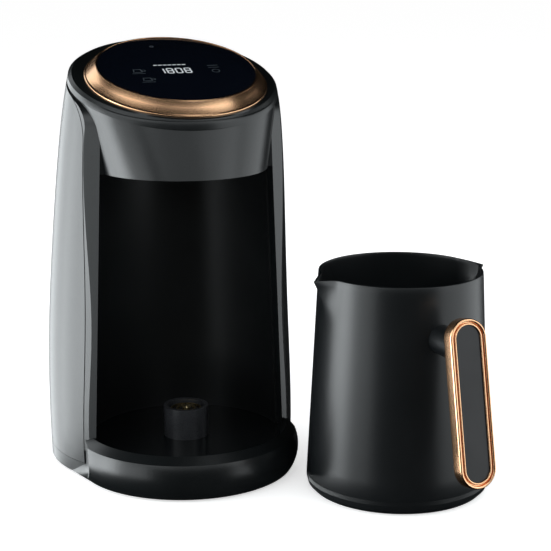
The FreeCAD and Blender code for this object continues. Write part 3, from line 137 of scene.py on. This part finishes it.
# Circuit boards, their parts and the ribbon cable, all inside the tower.
# Green laminate carries the relay, transformer and blue terminal block; a grey
# ribbon climbs to the touch board under the glass.
laminate = surface("board_laminate", (0.010, 0.070, 0.030), (0.018, 0.110, 0.045),
                   (0.35, 0.50), 400.0, 2500.0, 0.00003)
dress(laminate, "power_board", "touch_board")
part_case = surface("board_part_case", (0.020, 0.020, 0.022), (0.045, 0.045, 0.050),
                    (0.45, 0.60), 150.0, 1800.0, 0.00004)
dress(part_case, "relay", "transformer", "buzzer", "sensor_unit", "display_module")
terminal_blue = surface("terminal_plastic", (0.020, 0.080, 0.160), (0.030, 0.110, 0.210),
                        (0.40, 0.55), 150.0, 1800.0, 0.00004)
dress(terminal_blue, "terminal_block")
ribbon_grey = surface("ribbon_plastic", (0.22, 0.22, 0.24), (0.32, 0.32, 0.34),
                      (0.45, 0.60), 300.0, 1800.0, 0.00004)
dress(ribbon_grey, "ribbon_cable")
lens_black = surface("sensor_lens", (0.012, 0.004, 0.007), (0.018, 0.007, 0.010),
                     (0.06, 0.10), 60.0, 2000.0, 0.00001)
dress(lens_black, "sensor_window")

# Copper ring round the glass.
# Plated and polished metal-effect trim: a broad slope falls from the glass to a
# small step, and below it a narrow land meets the seat in the hood.
copper = surface("rose_copper_plating", (0.90, 0.51, 0.28), (0.96, 0.58, 0.34),
                 (0.20, 0.27), 35.0, 5000.0, 0.000004, metallic=1.0)
GLASS_CENTRE = (0.0, 0.0101, 0.2439)
GLASS_TILT = math.radians(17.8)
HEAD = Matrix.Translation(GLASS_CENTRE) @ Matrix.Rotation(GLASS_TILT, 4, "X")
FINE_SIDES = 192
MERGE_DISTANCE = 0.000001
SMOOTH_ANGLE = math.radians(40)


def lathe(name, profile, sides, spin=0.0):
    """A circle drawn from ring to ring along a profile of radius and height."""
    bpy.ops.object.select_all(action="DESELECT")
    bpy.ops.mesh.primitive_circle_add(vertices=sides, radius=profile[0][0],
                                      location=(0, 0, profile[0][1]), rotation=(0, 0, spin))
    piece = bpy.context.object
    piece.name = name
    bpy.ops.object.transform_apply(location=True, rotation=True, scale=True)
    bpy.ops.object.mode_set(mode="EDIT")
    bpy.ops.mesh.select_all(action="SELECT")
    for (radius, height), (wider, higher) in zip(profile, profile[1:]):
        growth = wider / radius
        bpy.ops.mesh.extrude_region_move(TRANSFORM_OT_translate={"value": (0, 0, higher - height)})
        bpy.ops.transform.resize(value=(growth, growth, 1), center_override=(0, 0, higher))
    bpy.ops.mesh.select_all(action="SELECT")
    bpy.ops.mesh.remove_doubles(threshold=MERGE_DISTANCE)
    bpy.ops.mesh.normals_make_consistent(inside=False)
    bpy.ops.object.mode_set(mode="OBJECT")
    return piece


def soften(piece, width, segments=3, angle=25.0):
    """Round the edges and smooth the faces between them."""
    bpy.ops.object.select_all(action="DESELECT")
    piece.select_set(True)
    bpy.context.view_layer.objects.active = piece
    rounding = piece.modifiers.new("edges", "BEVEL")
    rounding.width = width
    rounding.segments = segments
    rounding.limit_method = "ANGLE"
    rounding.angle_limit = math.radians(angle)
    rounding.harden_normals = False
    bpy.ops.object.modifier_apply(modifier="edges")
    bpy.ops.object.shade_smooth_by_angle(angle=SMOOTH_ANGLE)
    return piece


def settle(piece, place):
    """Put a piece in its place, with the place in its mesh."""
    bpy.ops.object.select_all(action="DESELECT")
    piece.select_set(True)
    bpy.context.view_layer.objects.active = piece
    piece.matrix_world = place
    bpy.ops.object.transform_apply(location=True, rotation=True, scale=True)
    return piece


ring = lathe("copper_ring", [
    (0.0544, -0.0085), (0.0544, -0.0066), (0.0536, -0.0059), (0.0533, -0.0060),
    (0.0508, -0.0028), (0.0486, -0.0004), (0.0478, 0.0004), (0.0472, 0.0004),
    (0.0470, 0.0001), (0.0484, -0.0001), (0.0484, -0.0030), (0.0454, -0.0030),
    (0.0454, -0.0085), (0.0544, -0.0085),
], FINE_SIDES)
soften(ring, 0.00025)
settle(ring, HEAD)
ring.data.materials.append(copper)
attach(ring, "tower")
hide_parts("trim_ring")

# Control glass with its lit figures.
# A disc of toughened glass with a black back, held by the copper ring; the figures
# lie on it as thin flat bars: four seven-bar figures under a row of short strokes.
panel_gloss = surface("panel_glass_black", (0.0012, 0.0020, 0.0040), (0.0020, 0.0030, 0.0055),
                      (0.05, 0.08), 12.0, 900.0, 0.000002)
GLASS_RADIUS = 0.0482
GLASS_THICKNESS = 0.003
bpy.ops.object.select_all(action="DESELECT")
bpy.ops.mesh.primitive_cylinder_add(vertices=FINE_SIDES, radius=GLASS_RADIUS, depth=GLASS_THICKNESS,
                                    location=(0, 0, -GLASS_THICKNESS / 2))
glass = bpy.context.object
glass.name = "glass_panel"
bpy.ops.object.transform_apply(location=True, rotation=True, scale=True)
soften(glass, 0.0004)
settle(glass, HEAD)
glass.data.materials.append(panel_gloss)
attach(glass, "tower")
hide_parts("control_glass")

PRINT_LIFT = 0.00003
BAR_LENGTH = 0.0034
BAR_WIDTH = 0.00095
BAR_SHARE = 0.88
FIGURE_PITCH = 0.0054
FIRST_FIGURE = -0.0104
FIGURE_LEVEL = -0.0041
STROKE_COUNT = 7
STROKE_PITCH = 0.0029
FIRST_STROKE = -0.0120
STROKE_LEVEL = 0.0046
STROKE_TURN = 2.0
SEGMENTS = {"0": "abcdef", "1": "bc", "8": "abcdefg"}
SEGMENT_PLACES = {
    "a": (0.0, 1.0, 0.0), "g": (0.0, 0.0, 0.0), "d": (0.0, -1.0, 0.0),
    "b": (0.5, 0.5, 90.0), "c": (0.5, -0.5, 90.0),
    "e": (-0.5, -0.5, 90.0), "f": (-0.5, 0.5, 90.0),
}


def flat_bar(length, width, x, y, turn=0.0):
    """A thin printed bar on the glass."""
    bpy.ops.mesh.primitive_plane_add(size=1.0, location=(x, y, PRINT_LIFT),
                                     rotation=(0, 0, math.radians(turn)))
    bar = bpy.context.object
    bar.scale = (length, width, 1.0)
    bpy.ops.object.transform_apply(location=True, rotation=True, scale=True)
    return bar


def joined(name, bars):
    """One piece from several prints."""
    bpy.ops.object.select_all(action="DESELECT")
    for bar in bars:
        bar.select_set(True)
    bpy.context.view_layer.objects.active = bars[0]
    bpy.ops.object.join()
    piece = bpy.context.object
    piece.name = name
    return piece


bars = []
for index, figure in enumerate("1808"):
    centre = FIRST_FIGURE + index * FIGURE_PITCH
    for segment in SEGMENTS[figure]:
        across, up, turn = SEGMENT_PLACES[segment]
        bars.append(flat_bar(BAR_LENGTH * BAR_SHARE, BAR_WIDTH, centre + across * BAR_LENGTH,
                             FIGURE_LEVEL + up * BAR_LENGTH, turn))
for index in range(STROKE_COUNT):
    bars.append(flat_bar(0.0023, 0.0010, FIRST_STROKE + index * STROKE_PITCH,
                         STROKE_LEVEL, STROKE_TURN))
figures = joined("display_figures", bars)
settle(figures, HEAD)
lit = bpy.data.materials.new("lit_figures")
lit.use_nodes = True
lit_nodes = lit.node_tree.nodes
lit_links = lit.node_tree.links
lit_shader = lit_nodes["Principled BSDF"]
lit_place = lit_nodes.new("ShaderNodeTexCoord")
lit_noise = lit_nodes.new("ShaderNodeTexNoise")
lit_noise.inputs["Scale"].default_value = 900.0
lit_ramp = lit_nodes.new("ShaderNodeValToRGB")
lit_ramp.color_ramp.elements[0].color = (0.50, 0.56, 0.60, 1.0)
lit_ramp.color_ramp.elements[1].color = (0.78, 0.84, 0.88, 1.0)
lit_links.new(lit_place.outputs["Object"], lit_noise.inputs["Vector"])
lit_links.new(lit_noise.outputs["Fac"], lit_ramp.inputs["Fac"])
lit_links.new(lit_ramp.outputs["Color"], lit_shader.inputs["Emission Color"])
lit_shader.inputs["Base Color"].default_value = (0.1, 0.1, 0.1, 1.0)
lit_shader.inputs["Emission Strength"].default_value = 0.7
figures.data.materials.append(lit)
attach(figures, "tower")

# Faint marks of the touch keys.
# Two cup marks to the left of the figures, two bars and a ring to the right and a
# small ring at the back; they are printed dark grey and only just show on the glass.
CUP_PLACES = ((-0.0245, -0.0030), (-0.0215, -0.0155))
CUP_HALF_HEIGHT = 0.0020
CUP_HALF_WIDTH = 0.0023
CUP_LEAN = 82.0
SAUCER_DROP = 0.0038
RIGHT_MARKS = 0.0225
RING_SIDES = 32
LINE = 0.0005


def printed_ring(radius, x, y, width=0.0004):
    """A thin printed ring on the glass."""
    bpy.ops.mesh.primitive_circle_add(vertices=RING_SIDES, radius=radius,
                                      location=(x, y, PRINT_LIFT))
    mark = bpy.context.object
    bpy.ops.object.transform_apply(location=True, rotation=True, scale=True)
    bpy.ops.object.mode_set(mode="EDIT")
    bpy.ops.mesh.select_all(action="SELECT")
    bpy.ops.mesh.extrude_edges_move()
    inner = (radius - width) / radius
    bpy.ops.transform.resize(value=(inner, inner, 1), center_override=(x, y, PRINT_LIFT))
    bpy.ops.object.mode_set(mode="OBJECT")
    return mark


marks = []
for x, y in CUP_PLACES:
    marks.append(flat_bar(0.0050, LINE, x, y + CUP_HALF_HEIGHT))
    marks.append(flat_bar(0.0040, LINE, x, y - CUP_HALF_HEIGHT))
    marks.append(flat_bar(0.0040, LINE, x - CUP_HALF_WIDTH, y, CUP_LEAN))
    marks.append(flat_bar(0.0040, LINE, x + CUP_HALF_WIDTH, y, -CUP_LEAN))
    marks.append(printed_ring(0.0013, x + 0.0036, y + 0.0002))
    marks.append(flat_bar(0.0080, 0.0004, x, y - SAUCER_DROP))
for y in (0.0022, -0.0008):
    marks.append(flat_bar(0.0065, LINE, RIGHT_MARKS, y))
marks.append(printed_ring(0.0024, RIGHT_MARKS, -0.0060))
marks.append(printed_ring(0.0012, -0.0070, 0.0335))
faint_marks = joined("faint_marks", marks)
settle(faint_marks, HEAD)
faint_print = surface("faint_print_grey", (0.035, 0.045, 0.055), (0.060, 0.075, 0.085),
                      (0.30, 0.40), 400.0, 3000.0, 0.00001)
faint_marks.data.materials.append(faint_print)
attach(faint_marks, "tower")

# Pot: the jug with its two pulled spouts.
# Drawn metal with a satin black non-stick coat inside and out; the rim is rolled
# and the spouts are pressed out of the wall on opposite sides.
POT_PLACE = (0.1097, -0.0741, 0.0)
POT_TURN = math.radians(5.0)
POT = Matrix.Translation(POT_PLACE) @ Matrix.Rotation(POT_TURN, 4, "Z")
pot_black = surface("pot_coating", (0.0026, 0.0034, 0.0040), (0.0040, 0.0050, 0.0058),
                    (0.31, 0.37), 28.0, 3000.0, 0.00004)
SEAM = 0.009
RIM = 0.132
FOOT_RADIUS = 0.054
RIM_RADIUS = 0.0478
WALL = 0.0015
FLOOR = 0.0275
UNDER_FLOOR = 0.026
AXIS = 0.0005
JUG_SIDES = 160
SPOUT_PUSH = 0.0084
SPOUT_HALF_ANGLE = 0.27
SPOUT_START = 0.106
TIP_DROP = 0.0023


def pot_radius(height):
    """Outer radius of the pot at a height."""
    return FOOT_RADIUS + (height - SEAM) / (RIM - SEAM) * (RIM_RADIUS - FOOT_RADIUS)


outside = [(pot_radius(h), h) for h in (SEAM, 0.02, 0.04, 0.06, 0.08, 0.095)]
outside += [(pot_radius(h), h) for h in [0.100 + 0.002 * step for step in range(16)]]
lip = [
    (RIM_RADIUS - 0.0001, RIM - 0.0003),
    (RIM_RADIUS - WALL * 0.5, RIM),
    (RIM_RADIUS - WALL + 0.0001, RIM - 0.0003),
]
inside = [(radius - WALL, height) for radius, height in reversed(outside) if height > FLOOR + 0.004]
floor_radius = pot_radius(FLOOR) - WALL
under = [
    (floor_radius - 0.0015, FLOOR + 0.0005), (floor_radius - 0.006, FLOOR), (AXIS, FLOOR),
    (AXIS, UNDER_FLOOR), (pot_radius(UNDER_FLOOR) - WALL, UNDER_FLOOR),
    (FOOT_RADIUS - WALL, SEAM), (FOOT_RADIUS, SEAM),
]
jug = lathe("jug_body", outside[:-1] + lip + inside + under, JUG_SIDES)
for vertex in jug.data.vertices:
    around = math.atan2(vertex.co.y, abs(vertex.co.x))
    near = max(0.0, 1.0 - abs(around) / SPOUT_HALF_ANGLE)
    high = max(0.0, (vertex.co.z - SPOUT_START) / (RIM - SPOUT_START))
    push = SPOUT_PUSH * near ** 1.35 * high ** 1.6
    side = 1.0 if vertex.co.x > 0 else -1.0
    vertex.co.x += side * push * math.cos(around)
    vertex.co.z -= TIP_DROP * near ** 1.5 * high ** 3
soften(jug, 0.0002, segments=2, angle=50.0)
settle(jug, POT)
jug.data.materials.append(pot_black)
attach(jug, "pot")
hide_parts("jug")

# Heater and base of the pot.
# The cup under the jug has the same coat; the plate is brushed aluminium, the
# element a drawn steel tube and the seal a ring of grey silicone.
dress(pot_black, "base_cup", "handle_stub")
plate_metal = surface("heater_plate_aluminium", (0.50, 0.51, 0.52), (0.62, 0.63, 0.64),
                      (0.30, 0.45), 120.0, 2600.0, 0.00002, metallic=1.0)
dress(plate_metal, "heating_plate")
tube_metal = surface("element_tube_steel", (0.22, 0.21, 0.21), (0.36, 0.35, 0.34),
                     (0.30, 0.45), 160.0, 2600.0, 0.00002, metallic=1.0)
dress(tube_metal, "heating_element", "thermostat")
silicone = surface("seal_silicone", (0.20, 0.19, 0.18), (0.28, 0.27, 0.26),
                   (0.55, 0.70), 150.0, 1500.0, 0.00004)
dress(silicone, "seal_ring")

# Handle: a copper rim round a black insert, on one round neck.
# The rim is a slot-shaped band with a fine groove; the insert lies a little
# lower and has a satin face.
HANDLE_PLACE = (0.0, -0.0810, 0.0740)
HANDLE_LEAN = 11.6
HANDLE = (POT @ Matrix.Translation(HANDLE_PLACE)
          @ Matrix.Rotation(math.radians(90 - HANDLE_LEAN), 4, "X"))
HANDLE_LENGTH = 0.0930
HANDLE_HALF = 0.01115
HANDLE_RUN = HANDLE_LENGTH / 2 - HANDLE_HALF
HANDLE_SIDES = 96


def stretch(piece, run):
    """Draw a round piece out into a slot shape along Y."""
    for vertex in piece.data.vertices:
        vertex.co.y += run if vertex.co.y > 0 else -run


rim = lathe("handle_rim", [
    (HANDLE_HALF, -0.0038), (HANDLE_HALF, 0.0030), (0.01085, 0.0036), (0.01040, 0.0038),
    (0.00945, 0.0036), (0.00945, 0.0014), (0.00855, 0.0014), (0.00855, 0.0034),
    (0.00755, 0.0034), (0.00755, -0.0038), (HANDLE_HALF, -0.0038),
], HANDLE_SIDES, math.pi / HANDLE_SIDES)
stretch(rim, HANDLE_RUN)
soften(rim, 0.00022)
settle(rim, HANDLE)
rim.data.materials.append(copper)
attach(rim, "pot")
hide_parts("handle_frame")

insert_black = surface("handle_insert_black", (0.007, 0.007, 0.008), (0.011, 0.011, 0.012),
                       (0.30, 0.38), 60.0, 3000.0, 0.00003)
dress(insert_black, "handle_core", "handle_inlay")

# Studio: a pale table, a horseshoe of soft light panels and the camera.
# The table glows a little, as a light table does, so the ground stays pale; the
# panels run low round both sides and high across the front.
TABLE_SIZE = 30.0
TABLE_GLOW = 0.55
SKY_GLOW = 0.55
bpy.ops.object.select_all(action="DESELECT")
bpy.ops.mesh.primitive_plane_add(size=TABLE_SIZE, location=(0, 0, 0))
table = bpy.context.object
table.name = "studio_table"
white = bpy.data.materials.new("pale_table")
white.use_nodes = True
table_shader = white.node_tree.nodes["Principled BSDF"]
table_shader.inputs["Base Color"].default_value = (0.80, 0.80, 0.80, 1.0)
table_shader.inputs["Roughness"].default_value = 0.9
table_shader.inputs["Specular IOR Level"].default_value = 0.0
table_shader.inputs["Emission Color"].default_value = (1.0, 1.0, 1.0, 1.0)
table_shader.inputs["Emission Strength"].default_value = TABLE_GLOW
table.data.materials.append(white)
table.visible_glossy = False
table.visible_shadow = False

world = bpy.data.worlds.new("studio")
bpy.context.scene.world = world
world.use_nodes = True
sky = world.node_tree.nodes["Background"]
sky.inputs["Color"].default_value = (1.0, 1.0, 1.0, 1.0)
sky.inputs["Strength"].default_value = SKY_GLOW
world.cycles_visibility.glossy = False


STUDIO_MIDDLE = Vector((0.03, 0.0, 0.12))
LIGHT_DISTANCE = 1.4
LIGHT_COLOUR = (0.93, 0.98, 1.0)


def soft_light(name, start, end, low, high, brightness):
    """A soft panel that fills a span of bearings and heights, both in degrees."""
    bearing = math.radians((start + end) / 2)
    height = math.radians((low + high) / 2)
    level = math.cos(height)
    aim = Vector((math.cos(bearing) * level, math.sin(bearing) * level, math.sin(height)))
    data = bpy.data.lights.new(name, "AREA")
    data.shape = "RECTANGLE"
    data.size = 2 * LIGHT_DISTANCE * math.tan(math.radians(abs(end - start) / 2)) * level
    data.size_y = 2 * LIGHT_DISTANCE * math.tan(math.radians((high - low) / 2))
    data.color = LIGHT_COLOUR
    data.energy = brightness * math.pi * data.size * data.size_y
    lamp = bpy.data.objects.new(name, data)
    bpy.context.scene.collection.objects.link(lamp)
    lamp.location = STUDIO_MIDDLE + aim * LIGHT_DISTANCE
    lamp.rotation_euler = aim.to_track_quat("Z", "Y").to_euler()


LIGHTS = (
    ("right_front_light", -60, -20, -20, 22, 1.5),
    ("right_rear_light", -20, 19, -22, 22, 1.8),
    ("left_front_light", 183, 217, -20, 14, 1.9),
    ("left_side_light", 162, 183, -20, 14, 8.0),
    ("left_rear_light", 134, 162, -24, 14, 5.5),
    ("left_far_light", 100, 134, -26, 14, 3.0),
    ("high_left_light", 110, 165, 16, 36, 1.5),
    ("high_side_light", 165, 240, 18, 44, 1.8),
    ("high_middle_light", 240, 285, 16, 40, 1.0),
    ("high_front_light", 285, 330, 16, 40, 1.6),
    ("top_light", 270, 330, 54, 80, 1.1),
)
for row in LIGHTS:
    soft_light(*row)

CAMERA_DIP = 13.06
CAMERA_AIM = (0.324, 0.946)
camera_data = bpy.data.cameras.new("camera")
camera_data.lens = 99.6
camera_data.sensor_width = 36.0
camera = bpy.data.objects.new("camera", camera_data)
bpy.context.scene.collection.objects.link(camera)
camera.location = (-0.2383, -0.8661, 0.3280)
camera.rotation_euler = (math.radians(90.0 - CAMERA_DIP), 0.0, -math.atan2(*CAMERA_AIM))
bpy.context.scene.camera = camera
bpy.context.scene.view_settings.view_transform = "Standard"
